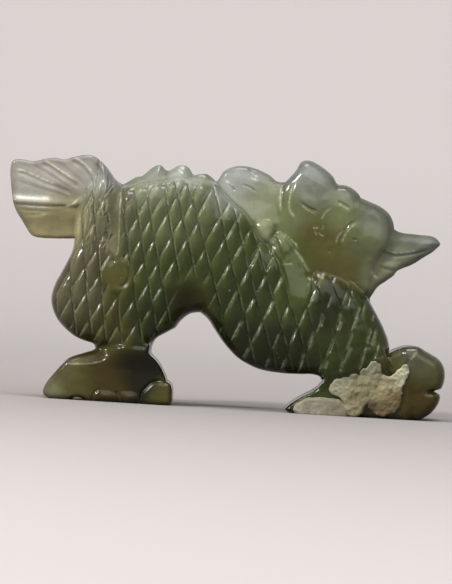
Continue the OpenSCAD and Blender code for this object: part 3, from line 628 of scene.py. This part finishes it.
# Soft lines: a lighter painted shade in a broad groove.
SOFT_LINES = [
    ([(-10.9, 39.9), (-11.3, 39.3), (-11.2, 38.6)], 0.15, 0.3),
    ([(-6.8, 39.3), (-7.2, 38.9), (-7.9, 38.8)], 0.15, 0.3),
    ([(25.8, 28.4), (27, 28), (28.5, 27.7), (30, 27.9), (32.5, 28.5), (34.4, 29.1)], 0.2, 0.3),
    ([(25.8, 25.7), (27, 25.3), (28.5, 25.2)], 0.15, 0.3),
    ([(7.6, 31.8), (7.95, 31), (7.75, 30), (7, 28.9)], 0.15, 0.35),
    ([(-36.8, 38), (-35.3, 37.8), (-31.8, 36.5), (-29.4, 35.8), (-27.1, 34.9)], 0.22, 0.4),
    ([(-32.6, 39.8), (-31.2, 39.2), (-29.7, 38.3), (-27.2, 36.8), (-26.1, 36.1)], 0.22, 0.4),
    ([(-27.6, 40.7), (-26.4, 40), (-25.4, 39.3), (-24.3, 38), (-23.7, 36.8)], 0.22, 0.4),
    ([(-23.4, 40.2), (-22.6, 39.2), (-22.1, 38.3)], 0.12, 0.35),
    ([(-36.7, 36.6), (-33, 35.6), (-28, 34.5)], 0.08, 0.35),
    ([(-34.4, 39.5), (-31.3, 38), (-27.2, 35.7)], 0.08, 0.35),
    ([(-30.1, 40.2), (-27.7, 38.6), (-25.2, 36.6)], 0.08, 0.35),
    ([(-35.3, 30.8), (-32, 31.1)], 0.1, 0.2), ([(-36, 31.7), (-30.5, 31.6)], 0.08, 0.25),
]
# Bright lines: a frosty pale that is partly a painted highlight.
BRIGHT_LINES = [
    ([(-9.5, 40.2), (-9, 39.9), (-8.6, 39.4)], 0.05, 0.16),
    ([(-5.9, 39.2), (-5.2, 39.3), (-4.6, 39.1)], 0.05, 0.14),
    ([(-37, 38.5), (-35.4, 38.3), (-32, 37), (-30, 36.4)], 0.08, 0.19),
    ([(-32.2, 40.3), (-30.9, 39.7), (-29.4, 38.8), (-27, 37.4)], 0.08, 0.19),
    ([(-27.1, 41.2), (-25.9, 40.5), (-24.9, 39.8), (-23.8, 38.5)], 0.08, 0.19),
    # A painted highlight along the fin's lip, with no cut.
    ([(-37.1, 33.9), (-35, 33.8), (-32.5, 33.9), (-30.8, 34)], 0, 0.22),
    ([(-23, 40.6), (-22.3, 39.7), (-21.8, 38.9)], 0.05, 0.15),
    ([(-36.4, 32.5), (-33, 32.4), (-29, 32.6), (-27, 33.3), (-25.7, 34.8)], 0.08, 0.14),
    ([(-35.6, 30.9), (-33.5, 31.1), (-31, 31.2)], 0.04, 0.13),
    ([(3.0, 40.5), (3.6, 40.1), (4.2, 39.7)], 0.1, 0.22),
    ([(3.0, 39.5), (3.7, 39.3), (4.3, 39.2)], 0.08, 0.2),
    ([(-1.2, 38.9), (-0.6, 38.3), (0, 37.9)], 0.08, 0.2),
    ([(8.3, 38.9), (8.25, 36.5), (8.4, 34.2)], 0.12, 0.16),
    ([(10.4, 39), (9.9, 37.5), (9.75, 35.6), (9.95, 34.5), (10.9, 33.2)], 0.25, 0.24),
    ([(9.1, 30.5), (10.3, 29.6), (11.6, 28.5)], 0.2, 0.16),
    ([(9.6, 30.1), (10.7, 29.1), (11.8, 28)], 0.1, 0.12),
    ([(10.9, 28), (12, 26.7), (13, 25.3), (13.9, 24.1)], 0.12, 0.28),
    ([(9, 25), (10, 25.2), (11, 25.3)], 0.08, 0.15),
    ([(11.9, 35.3), (12.9, 34.6), (14.4, 34)], 0.08, 0.14),
    ([(18.1, 35.9), (19, 35.5), (20.1, 34.9)], 0.06, 0.12),
    ([(16.9, 35.2), (15.8, 34.1), (15.4, 33)], 0.05, 0.12),
    ([(14, 31.7), (14.5, 31.6), (14.9, 31.8)], 0.1, 0.13),
    ([(15.6, 32.2), (15.7, 31.8), (15.6, 31.5)], 0.1, 0.11),
    ([(14.3, 31), (14.6, 30.7), (14.7, 30.3)], 0.08, 0.1),
    ([(15.1, 30.9), (15.4, 30.5), (15.9, 30.3)], 0.08, 0.1),
    ([(21.5, 33), (20.4, 32.1), (19.8, 31.2), (19.4, 30.2), (19.1, 29.3)], 0.08, 0.14),
    ([(19.4, 31.5), (18.7, 30.9), (18.3, 30.2), (18.1, 29.3)], 0.08, 0.12),
    ([(24.3, 24.8), (25, 24.2), (25.7, 23.7)], 0.06, 0.25),
    ([(26.8, 28.5), (28.5, 28.2), (30, 28.4), (32.2, 28.9)], 0.05, 0.13),
    ([(20.6, 23.3), (22, 22.3), (23.4, 21.1)], 0.25, 0.2),
    ([(-26.2, 6.1), (-24.5, 6.2), (-22.5, 6.4), (-20.5, 6.9), (-19, 7.9)], 0.12, 0.16),
    ([(12.2, 1.1), (13.6, 2.3), (15, 3.3), (16.4, 4.3)], 0.15, 0.14),
    ([(31.6, 10.2), (32.3, 11), (32.9, 11.7)], 0.12, 0.2),
    ([(-18.75, 36), (-18.7, 31), (-18.65, 26), (-18.9, 24.9)], 0.05, 0.12),
    ([(-24.9, 0.35), (-24.2, 0.4), (-23.6, 0.3)], 0.05, 0.16),
]
for path, depth, width in DARK_LINES:
    engrave(path, depth, width, 0.1, 0.28)
for path, depth, width in SOFT_LINES:
    engrave(path, depth, width, 0, 0.14)
for path, depth, width in BRIGHT_LINES:
    engrave(path, depth, width, 0.9, 0)

# Uneven hand polishing.
cuts += 0.05 * value_noise(2.6, 3) + 0.03 * value_noise(1.1, 4)


# ---------------- from field to meshes

class Places:
    """Points over the flat grid, ready to read any map there."""

    def __init__(self, x, z):
        self.z = z
        self.known = {}
        u = np.clip((x - LEFT) / CELL, 0, len(grid_x) - 2.001)
        v = np.clip((z - BOTTOM) / CELL, 0, len(grid_z) - 2.001)
        self.i, self.k = u.astype(int), v.astype(int)
        self.u, self.v = u - self.i, v - self.k

    def read(self, field):
        if id(field) not in self.known:
            i, k, u, v = self.i, self.k, self.u, self.v
            self.known[id(field)] = (
                (field[i, k] * (1 - u) + field[i + 1, k] * u) * (1 - v)
                + (field[i, k + 1] * (1 - u) + field[i + 1, k + 1] * u) * v)
        return self.known[id(field)]


def rounded(a, b, edge):
    """The field of two walls, a and b, that meet in an edge of the given radius."""
    return np.minimum(np.maximum(a, b), 0) + np.hypot(np.maximum(a, 0), np.maximum(b, 0)) - edge


def stone(at, y, used):
    """The stone's distance field at places and depths y. Negative inside."""
    tall = np.abs(y)
    found = None
    for depth, height, edge, blend in used:
        new = rounded(tall - at.read(height) + edge, edge - at.read(depth), edge)
        if found is None:
            found = new
        else:
            h = np.maximum(blend - np.abs(found - new), 0) / blend
            found = np.minimum(found, new) - h * h * blend / 4
    return found + at.read(cuts)


# How far a piece reaches past its border, how steeply it dips there, and the slot between
# a left and a right foot.
OVERLAP = 1.2
DIP = 0.6
SLOT = 1.6


def build(field, low, high, voxel):
    """Meshes the zero level of field(places, y) between two corners, in millimetres."""
    axes = [np.arange(math.floor(a / voxel) - 3, math.ceil(b / voxel) + 4) for a, b in
            zip(low, high)]
    x, z = np.meshgrid(axes[0] * voxel, axes[2] * voxel, indexing="ij")
    at = Places(x, z)
    values = np.stack([field(at, y * voxel) for y in axes[1]], 1).astype(np.float32)
    grid = openvdb.FloatGrid(3.0)
    grid.copyFromArray(values)
    points, quads = grid.convertToQuads(0.0)
    points = (np.array([a[0] for a in axes]) + points) * voxel
    for _ in range(2):
        slope = gradient(field, points)
        value = field(Places(points[:, 0], points[:, 2]), points[:, 1])
        step = value / np.maximum((slope ** 2).sum(1), 0.2)
        points = points - slope * np.clip(step, -0.1, 0.1)[:, None]
    return points, quads


def gradient(field, points, h=0.04):
    """Slope of a field at points, by differences."""
    x, y, z = points.T
    middle = Places(x, z)
    return np.stack([field(Places(x + h, z), y) - field(Places(x - h, z), y),
                     field(middle, y + h) - field(middle, y - h),
                     field(Places(x, z + h), y) - field(Places(x, z - h), y)], 1) / (2 * h)


def unit(vectors):
    """The vectors, each scaled to length 1."""
    return vectors / np.maximum(np.linalg.norm(vectors, axis=1), 1e-6)[:, None]


def srgb(r, g, b):
    """Linear colour of an sRGB one given in 0 to 255."""
    c = np.array([r, g, b]) / 255
    return np.where(c < 0.04045, c / 12.92, ((c + 0.055) / 1.055) ** 2.4)


# Colours seen in the stone.
STONE = {name: srgb(*rgb) for name, rgb in {
    "milk": (137, 134, 127), "mist": (124, 127, 122), "haze": (108, 111, 105),
    "straw": (168, 162, 122), "sage": (108, 112, 90), "ash": (90, 94, 82), "reed": (98, 97, 74),
    "moss": (84, 90, 60), "drab": (76, 74, 52), "olive": (64, 62, 28), "fern": (56, 65, 28),
    "leaf": (42, 50, 18), "pine": (27, 33, 9), "night": (14, 15, 2), "umber": (48, 39, 8),
    "bark": (36, 34, 6), "slate": (64, 65, 48), "pearl": (136, 141, 131), "husk": (126, 130, 102),
}.items()}

# Where each colour lies: x, z, reach, colour. A point out of every reach gets their average.
FAR_WEIGHT = 1e-7
# The map is partly the stone's own colour and partly painted light and shade: paler where the stone
# is thin and light shows through, darker low on the body and in the recess between the legs.
TINTS_AND_PAINTED_LIGHT = [
    (-36, 38, 4, "milk"), (-31, 38.5, 4, "milk"), (-26, 39.5, 3, "milk"), (-33, 29.4, 3, "straw"),
    (-28, 29.4, 2.6, "straw"), (-34, 34.3, 2, "mist"), (-28.5, 34.3, 2.2, "reed"),
    (-22, 38.5, 2.5, "mist"), (-23, 32, 3, "reed"), (-19, 33, 2.5, "drab"), (-22, 27, 3, "drab"),
    (-27, 20, 2.5, "drab"), (-24, 16, 3, "drab"), (-18.4, 21.4, 2.3, "olive"),
    (-24, 12, 2, "olive"), (-19, 13, 3.5, "olive"), (-14, 37, 2.5, "sage"), (-14, 39.5, 2, "mist"),
    (-8, 39.5, 2, "pearl"), (-13, 31, 4, "moss"), (-6, 33, 4, "moss"), (-12, 24, 4, "fern"),
    (-13, 15, 4, "leaf"), (-5, 24.5, 3, "fern"), (-6.3, 18.5, 2.4, "bark"),
    (-4.5, 15.4, 1.3, "drab"), (0, 28, 4, "fern"), (-1, 36, 2.2, "pearl"), (3, 20, 4.5, "leaf"),
    (4, 11, 4, "pine"), (11, 9, 4, "pine"), (11, 19, 3, "fern"), (11, 27, 2.5, "fern"),
    (18, 18, 3, "pine"), (24, 17, 3, "leaf"), (20, 10, 3.5, "leaf"), (1, 39.5, 3, "mist"),
    (4, 35.5, 2.5, "sage"), (5.6, 30.5, 1.2, "husk"), (7.5, 32.8, 1.6, "moss"),
    (8.6, 30, 1.5, "moss"), (3, 30.4, 1.5, "fern"), (13, 41.5, 2.5, "haze"), (14, 38, 2.5, "ash"),
    (11, 33.5, 2.5, "moss"), (14, 31, 2.5, "olive"), (18, 34, 2.5, "moss"), (17, 28, 3.5, "olive"),
    (21, 25.5, 2.5, "olive"), (19.5, 38.5, 1.5, "ash"), (25, 34, 2.5, "ash"), (23, 29.5, 3, "moss"),
    (29, 30, 3, "ash"), (34.5, 30.2, 2, "haze"), (29, 27, 2, "sage"), (25.5, 24.5, 2, "sage"),
    (-29, 1.5, 2, "reed"), (-27, 5.5, 2, "drab"), (-25, 3.5, 3, "olive"), (-20, 4.5, 3, "umber"),
    (-18, 1.5, 2, "umber"), (-14.5, 6, 3, "night"), (-13, 3, 1.5, "night"), (-10, 2, 1.6, "olive"),
    (16, 4, 2, "leaf"), (24, 5, 3, "pine"), (24.8, 1.4, 1.3, "bark"), (29, 10, 1.5, "olive"),
    (31.5, 11, 1.5, "slate"), (34.5, 10, 2.5, "slate"), (35, 7, 2.5, "olive"),
    (32.5, 5, 2, "umber"), (35, 2, 2.5, "umber"),
]


def blend_colours(points, places):
    """The colour at each point, from places given as (x, z, reach, colour)."""
    total = np.full(len(points), 1e-9)
    mixed = np.zeros((len(points), 3))
    for x, z, reach, colour in places:
        far = (points[:, 0] - x) ** 2 + (points[:, 2] - z) ** 2
        weight = np.exp(-far / reach ** 2) + FAR_WEIGHT
        total += weight
        mixed += weight[:, None] * colour
    return mixed / total[:, None]


def add_object(name, data):
    """A new object in the scene."""
    thing = bpy.data.objects.new(name, data)
    bpy.context.scene.collection.objects.link(thing)
    return thing


def make_piece(name, points, quads, normals, node, material, colours, frosts_and_glints):
    """A mesh object from millimetre points, riding on the root body in its node's place."""
    mesh = bpy.data.meshes.new(name)
    mesh.from_pydata((points * MM).tolist(), [], quads.tolist())
    mesh.shade_smooth()
    tint = mesh.attributes.new("tint", "FLOAT_COLOR", "POINT")
    tint.data.foreach_set("color", np.c_[colours, np.ones(len(points))].ravel())
    # The second attribute is the engraving's frosting together with its painted highlights.
    frost_and_glint_layer = mesh.attributes.new("frost_and_glint", "FLOAT", "POINT")
    frost_and_glint_layer.data.foreach_set("value", frosts_and_glints.astype(np.float32))
    mesh.validate()
    mesh.normals_split_custom_set_from_vertices(normals.tolist())
    mesh.materials.append(material)
    piece = add_object(name, mesh)
    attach(piece, "root")
    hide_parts(node)


# ---------------- materials

def feed(socket, value):
    """Links an output to a socket, or sets the socket to a plain value."""
    if isinstance(value, bpy.types.NodeSocket):
        socket.id_data.links.new(value, socket)
    else:
        socket.default_value = value


def node_kit(name):
    """A new material, a short way to add nodes to it, and one to set its shader."""
    material = bpy.data.materials.new(name)
    material.use_nodes = True
    tree = material.node_tree
    shader = tree.nodes["Principled BSDF"]

    def add(kind, **inputs):
        node = tree.nodes.new("ShaderNode" + kind)
        for key, value in inputs.items():
            feed(node.inputs[key], value)
        return node

    def put(key, value):
        feed(shader.inputs[key], value)

    return material, add, put


def noise(add, place, scale, detail, roughness):
    """The value socket of a noise texture."""
    node = add("TexNoise", Vector=place, Scale=scale, Detail=detail, Roughness=roughness)
    return node.outputs["Fac"]


def attribute(add, name):
    """The node that reads a mesh attribute."""
    node = add("Attribute")
    node.attribute_name = name
    return node


def scaled(add, colour, factor):
    """A colour socket times a number."""
    node = add("VectorMath", Vector=colour)
    node.operation = "SCALE"
    feed(node.inputs["Scale"], factor)
    return node.outputs[0]


def math_node(add, operation, a, b):
    """The result socket of a two-value Math node."""
    node = add("Math")
    node.operation = operation
    feed(node.inputs[0], a)
    feed(node.inputs[1], b)
    return node.outputs[0]


def mix_node(add, factor, a, b):
    """The colour socket of a Mix node."""
    node = add("Mix")
    node.data_type = "RGBA"
    for index, value in ((0, factor), (6, a), (7, b)):
        feed(node.inputs[index], value)
    return node.outputs[2]


def map_range(add, value, low, high, to_low, to_high):
    """A value moved from one range to another and kept inside it."""
    node = add("MapRange", Value=value)
    for socket, number in zip(list(node.inputs)[1:5], (low, high, to_low, to_high)):
        socket.default_value = number
    return node.outputs[0]


def jade(name):
    """Polished jade: cloudy green, fine pale specks, and frosty pale engraving that is partly a
    painted highlight.
    """
    material, add, put = node_kit(name)
    place = add("NewGeometry").outputs["Position"]
    tint = attribute(add, "tint").outputs["Color"]
    frost_and_glint_amount = attribute(add, "frost_and_glint").outputs["Fac"]

    clouds = noise(add, place, 260.0, 5.0, 0.6)
    cloud = map_range(add, clouds, 0.3, 0.7, 0.84, 1.14)
    grain = noise(add, place, 1500.0, 4.0, 0.7)
    fine = map_range(add, grain, 0.3, 0.7, 0.93, 1.07)
    base = scaled(add, tint, math_node(add, "MULTIPLY", cloud, fine))

    flecks = add("TexVoronoi", Vector=place, Scale=900.0)
    fleck = map_range(add, flecks.outputs["Distance"], 0.05, 0.16, 0.5, 0.0)
    patches = noise(add, place, 420.0, 2.0, 0.5)
    where = map_range(add, patches, 0.62, 0.70, 0.0, 1.0)
    speck = math_node(add, "MULTIPLY", fleck, where)
    pale = mix_node(add, speck, base, (0.30, 0.33, 0.22, 1))

    # The engraving's pale lines, part frosting and part painted highlight, lighten the colour, and
    # the frosting also makes the surface rougher.
    broken = noise(add, place, 1900.0, 3.0, 0.7)
    crumbs = map_range(add, broken, 0.36, 0.6, 0.25, 1.0)
    frost_and_glint_mask = math_node(add, "MULTIPLY", frost_and_glint_amount, crumbs)
    frost_and_glint_colour = add("VectorMath", Vector=tint)
    frost_and_glint_colour.operation = "MULTIPLY_ADD"
    frost_and_glint_colour.inputs[1].default_value = (1.7, 1.7, 1.7)
    frost_and_glint_colour.inputs[2].default_value = (0.11, 0.12, 0.08)
    put("Base Color", mix_node(add, frost_and_glint_mask, pale, frost_and_glint_colour.outputs[0]))

    wear = noise(add, place, 700.0, 4.0, 0.65)
    polish = map_range(add, wear, 0.35, 0.7, 0.10, 0.27)
    dulled = math_node(add, "MULTIPLY", frost_and_glint_mask, 0.18)
    put("Roughness", math_node(add, "ADD", polish, dulled))

    ripples = math_node(add, "ADD", math_node(add, "MULTIPLY", wear, 0.6),
                        math_node(add, "MULTIPLY", broken, 0.4))
    bump = add("Bump", Height=ripples, Distance=0.00008, Strength=0.3)
    put("Normal", bump.outputs[0])
    put("IOR", 1.5)
    put("Specular IOR Level", 0.25)
    put("Subsurface Weight", 0.25)
    put("Subsurface Radius", (0.7, 1.0, 0.45))
    put("Subsurface Scale", 0.0012)
    return material


def chalk(name):
    """The rough pale rind: blotches over its colours, and a crumbly surface."""
    material, add, put = node_kit(name)
    place = add("NewGeometry").outputs["Position"]
    clouds = noise(add, place, 500.0, 6.0, 0.7)
    cloud = map_range(add, clouds, 0.3, 0.7, 0.6, 1.3)
    put("Base Color", scaled(add, attribute(add, "tint").outputs["Color"], cloud))
    put("Roughness", map_range(add, clouds, 0.3, 0.7, 0.7, 0.95))
    crumbs = noise(add, place, 1600.0, 5.0, 0.75)
    bump = add("Bump", Height=crumbs, Distance=0.0003, Strength=0.8)
    put("Normal", bump.outputs[0])
    return material


jades = {slot: jade(slot) for slot in ("pale_jade", "olive_jade", "dark_jade")}
white = chalk("white_crust")

# ---------------- jade pieces

PALE = ("tail_fin", "dorsal_crest", "mane", "mane_curl", "horn", "brow", "nose", "upper_jaw",
        "lower_jaw", "hind_heel")
DARK = ("haunch", "body_arch", "belly_web", "chest", "shoulder", "neck_lock", "fore_foot")
FEET = ("hind_foot", "hind_heel", "fore_foot", "fore_paw", "fore_thumb")
SMOOTH = ("tail_fin", "dorsal_crest", "belly_web", "horn", "brow", "nose", "upper_jaw",
          "lower_jaw", "beard", "hind_heel", "fore_paw", "mane_curl", "fore_thumb")

# How far past its own border a slab still changes the stone.
REACH = 2.2

# How much painted shade darkens the stone where it turns away from the flat face, and along
# its outline.
EDGE_SHADE = 0.42
RIM_SHADE = 0.34
outline_depth = np.maximum.reduce([depth for depth, height, edge, blend in slabs])
rim = RIM_SHADE * ramp(outline_depth, 1.5, 0.1)
stone_places = [(x, z, reach, STONE[colour]) for x, z, reach, colour in TINTS_AND_PAINTED_LIGHT]


def jade_piece(region):
    """Meshes one region of the stone, and makes its piece or its right and left pieces."""
    depth = region_maps[region]
    inside = depth > -OVERLAP
    low = (GX[inside].min(), GZ[inside].min())
    high = (GX[inside].max(), GZ[inside].max())
    used = [s for s in slabs if s[0][inside].max() > -REACH]
    tallest = max(s[1][inside & (s[0] > -REACH)].max() for s in used) + 0.3

    def whole(at, y):
        return np.maximum(np.maximum(stone(at, y, used), np.abs(y) - HALF), -at.z)

    def part(at, y):
        far = np.maximum(-at.read(depth), 0)
        return np.maximum(whole(at, y) + DIP * far, far - OVERLAP)

    def half(at, y):
        return np.maximum(part(at, y), SLOT / 2 - y)

    slot = "pale_jade" if region in PALE else "dark_jade" if region in DARK else "olive_jade"
    voxel = 0.2 if region in SMOOTH else 0.15
    foot = region in FEET
    field = half if foot else part
    points, quads = build(field, (low[0], 0 if foot else -tallest, low[1]),
                          (high[0], tallest, high[1]), voxel)
    at = Places(points[:, 0], points[:, 2])
    on_slot = (points[:, 1] < SLOT / 2 + 0.12) & foot
    dipped = at.read(depth) < -0.5
    normals = unit(np.where((on_slot | dipped)[:, None], gradient(field, points),
                            gradient(whole, points)))
    facing = np.abs(normals[:, 1])
    colours = blend_colours(points, stone_places)
    # Painted shade: the shadow map, then where the stone turns away from the flat face, then along
    # its outline.
    colours *= (1 - at.read(shadow) * (facing > 0.4))[:, None]
    colours *= (1 - EDGE_SHADE * (1 - facing) ** 1.5)[:, None]
    colours *= (1 - at.read(rim) * ramp(facing, 0.1, 0.5))[:, None]
    sides = (("_left", 1), ("_right", -1)) if foot else (("", 1),)
    for ending, side in sides:
        flip = np.array([1, side, 1])
        make_piece("jade_" + region + ending, points * flip,
                   quads if side > 0 else quads[:, ::-1], normals * flip,
                   region + ending, jades[slot], colours, at.read(frost_and_glint))


for region in REGIONS:
    jade_piece(region)

# ---------------- white rind on the near foot

CRUST = [
    (18.7, 4.3), (19, 5.3), (20, 6), (21.3, 6.5), (22.6, 7.3), (23.8, 7.8), (24.8, 8.4),
    (25.4, 9.3), (26.5, 9), (26.9, 7.9), (27.7, 7.2), (28.8, 7), (29.7, 7.7), (30.5, 8.5),
    (31.2, 9), (31.3, 8.1), (30.9, 7), (30.5, 5.8), (30.5, 4.4), (30.5, 2.8), (29.6, 1.5),
    (28, 0.9), (26.4, 1), (25.6, 1.8), (25.2, 2.6), (24.4, 2.2), (24, 1.1), (22.8, 0.5),
    (21.6, 1.1), (21.2, 2.4), (20.4, 3.4), (19.4, 3.7)]
CLAW = [
    (13.4, 0), (12.9, 0.7), (13.3, 1.4), (14.6, 2.3), (17, 2.7), (20.2, 2.5), (21.5, 1.5), (21.4, 0)]

# The height of the foot's face, how far the rind stands up from it, and how deep it is set.
FOOT_FACE = 7.73
CRUST_RISE = 0.16
CRUST_ROOT = 1.6


def chalk_piece(name, outline, edge, rugged, tints):
    """A raised patch on the near foot's face. rugged is how rough its front is, and tints
    are x, z, reach and sRGB colour."""
    depth = depth_map(outline)
    face = np.maximum(foot_height, FOOT_FACE) + CRUST_RISE + 0.4 * bump_at(26.5, 7.7, 1.1, 0.8)
    rough = rugged * (0.5 * value_noise(1.7, 11) + 0.35 * value_noise(0.8, 12)
                      + 0.25 * value_noise(0.4, 13))

    def field(at, y):
        front = -y - at.read(face) + at.read(rough)
        back = y + FOOT_FACE - CRUST_ROOT
        side = edge - 0.35 - at.read(depth) + 0.8 * at.read(rough)
        return np.maximum(rounded(np.maximum(front, back) + edge, side, edge), 0.01 - at.z)

    low, high = outline.min(0) - 0.5, outline.max(0) + 0.5
    points, quads = build(field, (low[0], -FOOT_FACE - 1.6, low[1]),
                          (high[0], -FOOT_FACE + 2, high[1]), 0.12)
    colours = blend_colours(points, [(x, z, reach, srgb(*rgb)) for x, z, reach, rgb in tints])
    make_piece(name, points, quads, unit(gradient(field, points)), name, white,
               colours, np.zeros(len(points)))


chalk_piece("white_crust", loop(CRUST), 0.4, 0.36, [
    (20, 5.2, 1.6, (134, 134, 110)), (22, 5.6, 1.6, (115, 112, 86)), (23, 2.8, 1.6, (112, 105, 78)),
    (25.6, 8, 1.4, (124, 124, 100)), (25.6, 4.6, 1.6, (110, 104, 75)),
    (28.4, 5.6, 1.4, (128, 122, 94)), (28.6, 3.2, 1.4, (102, 88, 56)),
    (31, 7.6, 1.6, (152, 152, 128)), (29.6, 1.6, 1.4, (58, 46, 22)), (30.5, 3.6, 1.2, (66, 56, 28)),
    (25.2, 1.6, 1.1, (46, 36, 18)), (27, 1.2, 1, (84, 70, 42))])
chalk_piece("white_claw", np.array(CLAW), 0.6, 0.1, [
    (14, 1, 2, (128, 124, 108)), (17, 1.8, 2.2, (117, 112, 96)), (20.6, 1.2, 1.6, (106, 100, 80))])

# ---------------- studio

def studio_bowl():
    """A pale floor that curves up into a wall all round, as one smooth sheet. The paper
    grows lighter with the distance from the stone: painted shade around the stone."""
    flat, bend, top = 0.55, 0.45, 1.6
    profile = [(r, 0.0) for r in (0.15, 0.35, flat)]
    profile += [(flat + bend * math.sin(a), bend - bend * math.cos(a))
                for a in np.linspace(0.12, math.pi / 2, 12)]
    profile.append((flat + bend, top))
    sides = 72
    points = [(0.0, 0.0, 0.0)]
    faces = []
    for radius, height in profile:
        for i in range(sides):
            turn = 2 * math.pi * i / sides
            points.append((radius * math.cos(turn), radius * math.sin(turn), height))
    for i in range(sides):
        j = (i + 1) % sides
        faces.append((0, 1 + i, 1 + j))
        for ring in range(len(profile) - 1):
            a, b = 1 + ring * sides, 1 + (ring + 1) * sides
            faces.append((a + i, b + i, b + j, a + j))
    mesh = bpy.data.meshes.new("studio_floor")
    mesh.from_pydata(points, [], faces)
    mesh.shade_smooth()
    paper, add, put = node_kit("paper")
    away = add("VectorMath", Vector=add("NewGeometry").outputs["Position"])
    away.operation = "LENGTH"
    shades = add("ValToRGB", Fac=away.outputs["Value"])
    near, far = shades.color_ramp.elements
    # Painted shade near the stone, the plain paper colour far from it.
    near.color = (*srgb(128, 124, 123), 1)
    far.color = (*srgb(184, 180, 179), 1)
    far.position = 0.8
    put("Base Color", shades.outputs[0])
    put("Roughness", 0.9)
    put("Specular IOR Level", 0.1)
    mesh.materials.append(paper)
    add_object("studio_floor", mesh)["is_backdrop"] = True


def soft_light(name, place, aim, size, power, colour):
    """A square area light at a place, turned to face a point."""
    data = bpy.data.lights.new(name, "AREA")
    data.shape = "SQUARE"
    data.size = size
    data.energy = power
    data.color = colour
    lamp = add_object(name, data)
    lamp.location = place
    lamp.rotation_euler = (Vector(aim) - Vector(place)).to_track_quat("-Z", "Y").to_euler()


studio_bowl()
soft_light("key", (-0.42, -0.36, 0.38), (0, 0, 0.02), 0.08, 5.0, (1.0, 0.98, 0.95))
soft_light("sky", (0.12, -0.5, 0.52), (0, 0, 0.02), 0.7, 4.1, (1.0, 0.98, 0.96))
soft_light("wall", (0, -0.1, 1.3), (0, 1.0, 0.25), 0.6, 17, (1.0, 1.0, 1.0))

world = bpy.data.worlds.new("studio_air")
world.use_nodes = True
world.node_tree.nodes["Background"].inputs["Color"].default_value = (1.0, 0.97, 0.95, 1)
world.node_tree.nodes["Background"].inputs["Strength"].default_value = 0.15
bpy.context.scene.world = world
bpy.context.scene.view_settings.view_transform = "Standard"

# The photograph was taken square on to the flat face, with the figure tilted a little.
DISTANCE = 0.6
EYE_HEIGHT = 0.0198
FRAME_HEIGHT = 0.1001
SENSOR = 36
TILT = math.radians(3.5)
camera_data = bpy.data.cameras.new("camera")
camera_data.sensor_width = SENSOR
camera_data.lens = SENSOR * DISTANCE / FRAME_HEIGHT
camera = add_object("camera", camera_data)
camera.matrix_world = (Matrix.Translation((0, -DISTANCE, EYE_HEIGHT))
                       @ Matrix.Rotation(math.pi / 2, 4, "X") @ Matrix.Rotation(TILT, 4, "Z"))
bpy.context.scene.camera = camera

low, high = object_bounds()
